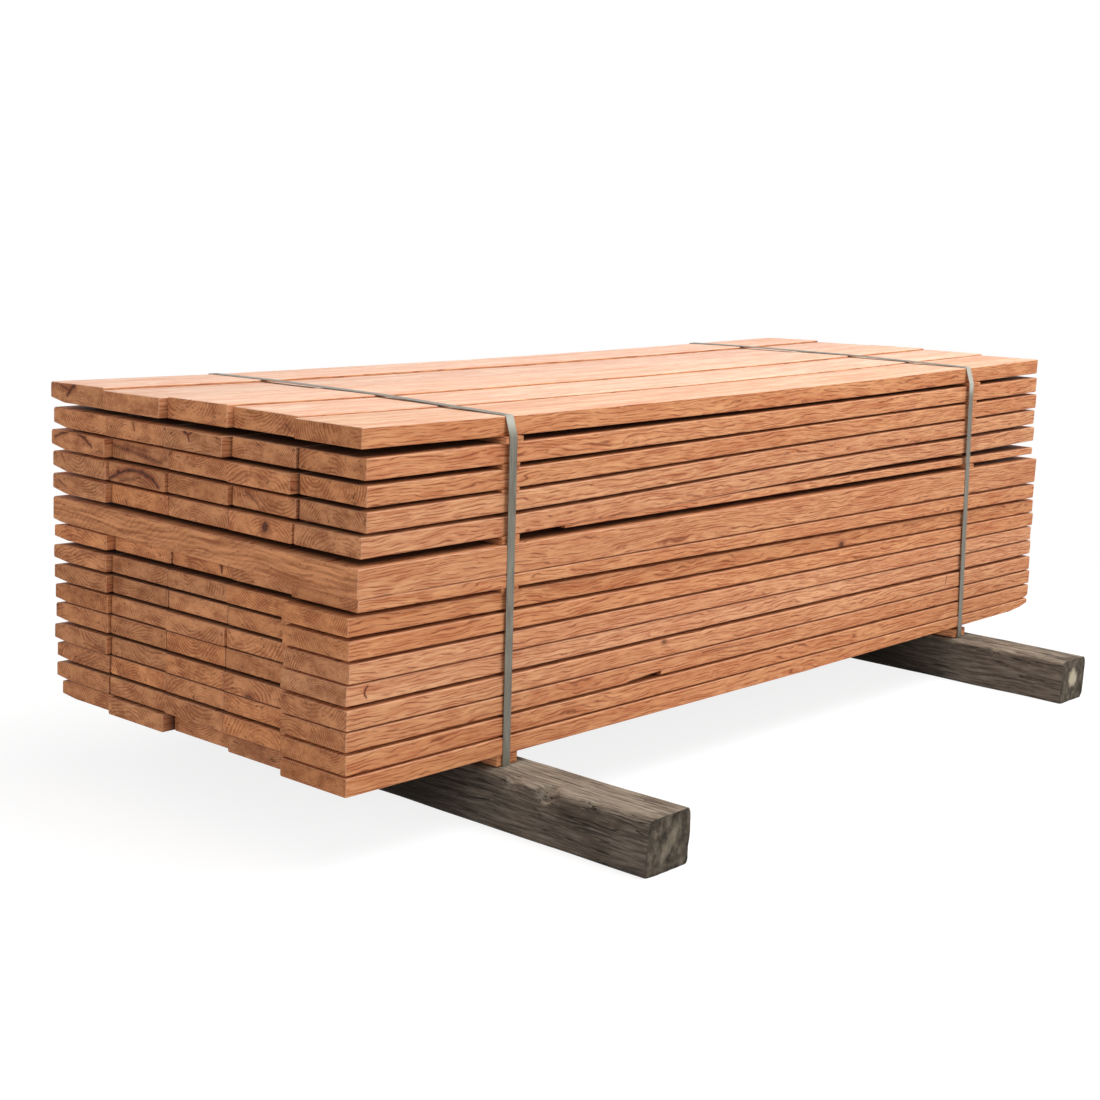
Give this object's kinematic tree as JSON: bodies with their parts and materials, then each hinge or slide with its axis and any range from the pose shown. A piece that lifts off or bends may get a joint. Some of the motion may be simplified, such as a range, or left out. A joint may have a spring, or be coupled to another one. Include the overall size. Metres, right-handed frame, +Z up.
{
  "type": "stack of lumber",
  "caption": "Strapped stack of sawn boards in level and slightly bent courses with a thick slab, thin laths between, on two weathered timber bearers.",
  "frame": {"origin": "middle of the whole object's plan rectangle, at floor level under the bearers", "axes": "+X along the boards, from the stack's lower front end to its raised back end; +Y across the stack, from the side where the bearers stick out to the other side; +Z up"},
  "size_m": [2.69, 1.3366, 0.8631],
  "materials": {
    "board_wood": "rough sawn softwood",
    "slab_wood": "rough sawn softwood",
    "lath_wood": "rough sawn softwood",
    "bearer_wood": "weathered grey, rough",
    "strap_steel": "dull grey flat strap"
  },
  "bodies": {
    "root": {"boards_course_01": "board_wood", "boards_course_02": "board_wood", "boards_course_03": "board_wood", "boards_course_04": "board_wood", "boards_course_05": "board_wood", "boards_thin_course": "board_wood", "thick_slab": "slab_wood", "boards_course_07": "board_wood", "boards_course_08": "board_wood", "boards_course_09": "board_wood", "boards_course_10": "board_wood", "boards_course_11": "board_wood", "boards_course_12": "board_wood", "boards_course_13": "board_wood", "boards_course_14": "board_wood", "boards_course_15": "board_wood", "laths_first_strap": "lath_wood", "laths_second_strap": "lath_wood", "shim_under_slab": "lath_wood", "lath_bottom_first": "lath_wood", "lath_bottom_second": "lath_wood", "strap_first": "strap_steel", "strap_second": "strap_steel", "bearer_first": "bearer_wood", "bearer_second": "bearer_wood"}
  },
  "joints": []
}
